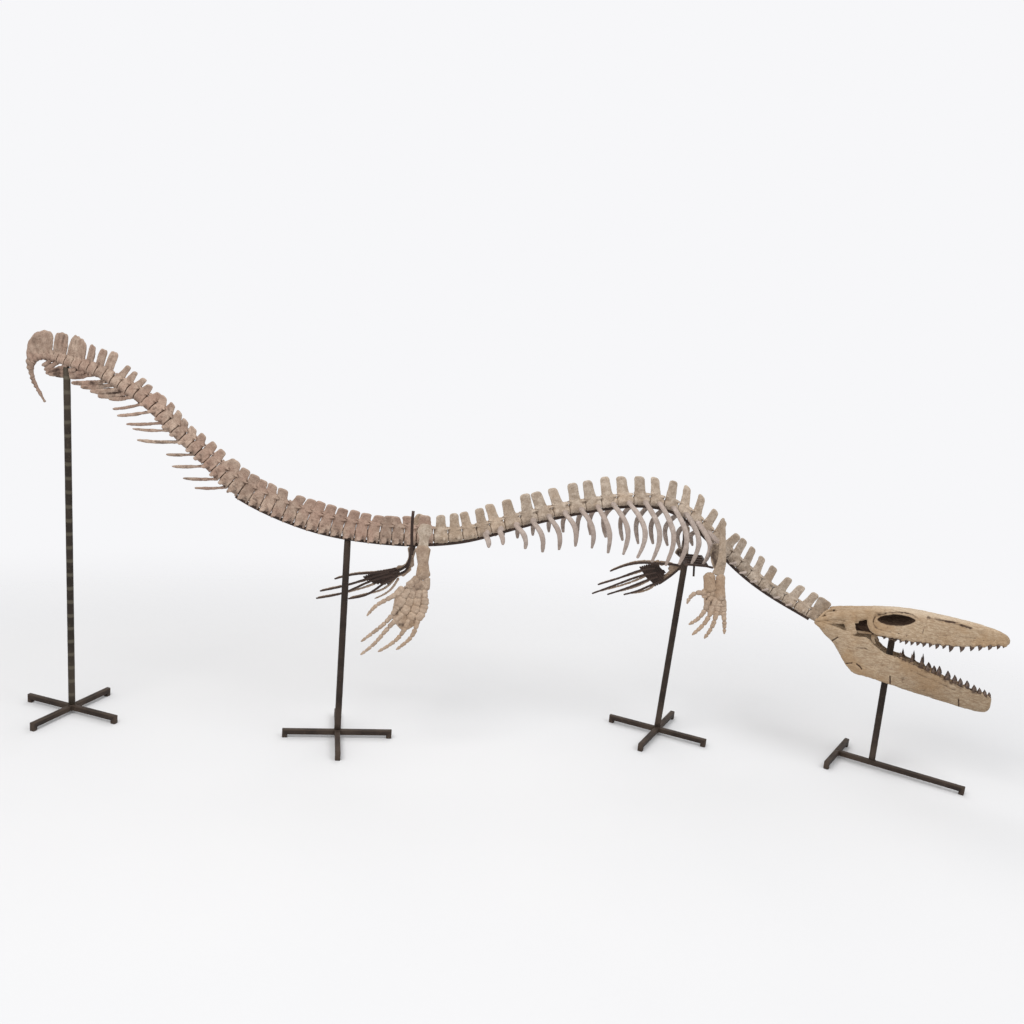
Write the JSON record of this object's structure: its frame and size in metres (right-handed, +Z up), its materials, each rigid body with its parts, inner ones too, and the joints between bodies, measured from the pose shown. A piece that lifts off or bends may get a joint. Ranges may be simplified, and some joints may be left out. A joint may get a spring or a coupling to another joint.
{
  "type": "mounted mosasaur skeleton",
  "caption": "Life-size mounted skeleton of a mosasaur, an extinct sea lizard: toothed skull, arched backbone, ribs, paddles and curved tail on steel rods with floor stands.",
  "frame": {"origin": "centre of the floor plan box, at floor level", "axes": "+X towards the head, +Y to the left of the animal, +Z up"},
  "size_m": [4.8355, 0.9923, 1.8711],
  "materials": {
    "trunk_bone": "matt brown fossil bone",
    "tail_bone": "matt pinkish brown fossil bone",
    "skull_bone": "matt ochre fossil bone, teeth dark brown",
    "stand_steel": "dark brown painted steel, worn",
    "frame_steel": "dark brown painted steel strip"
  },
  "bodies": {
    "root": {"fore_paddle_left": "trunk_bone", "fore_paddle_right": "trunk_bone", "hind_paddle_left": "trunk_bone", "hind_paddle_right": "trunk_bone", "jaw_left": "skull_bone", "jaw_right": "skull_bone", "neck": "trunk_bone", "pelvis_left": "trunk_bone", "pelvis_right": "trunk_bone", "sacrum": "trunk_bone", "shoulder_left": "trunk_bone", "shoulder_right": "trunk_bone", "skull": "skull_bone", "stand_bar_neck": "frame_steel", "stand_bar_tail": "frame_steel", "stand_bar_trunk": "frame_steel", "stand_chest_base": "stand_steel", "stand_chest_frame": "frame_steel", "stand_chest_rod": "stand_steel", "stand_head_base": "stand_steel", "stand_head_rod": "stand_steel", "stand_hind_frame": "frame_steel", "stand_hip_base": "stand_steel", "stand_hip_rod": "stand_steel", "stand_tail_base": "stand_steel", "stand_tail_rod": "stand_steel", "tail_base": "tail_bone", "tail_end": "tail_bone", "tail_tip": "tail_bone", "trunk_left": "trunk_bone", "trunk_right": "trunk_bone"}
  },
  "joints": []
}
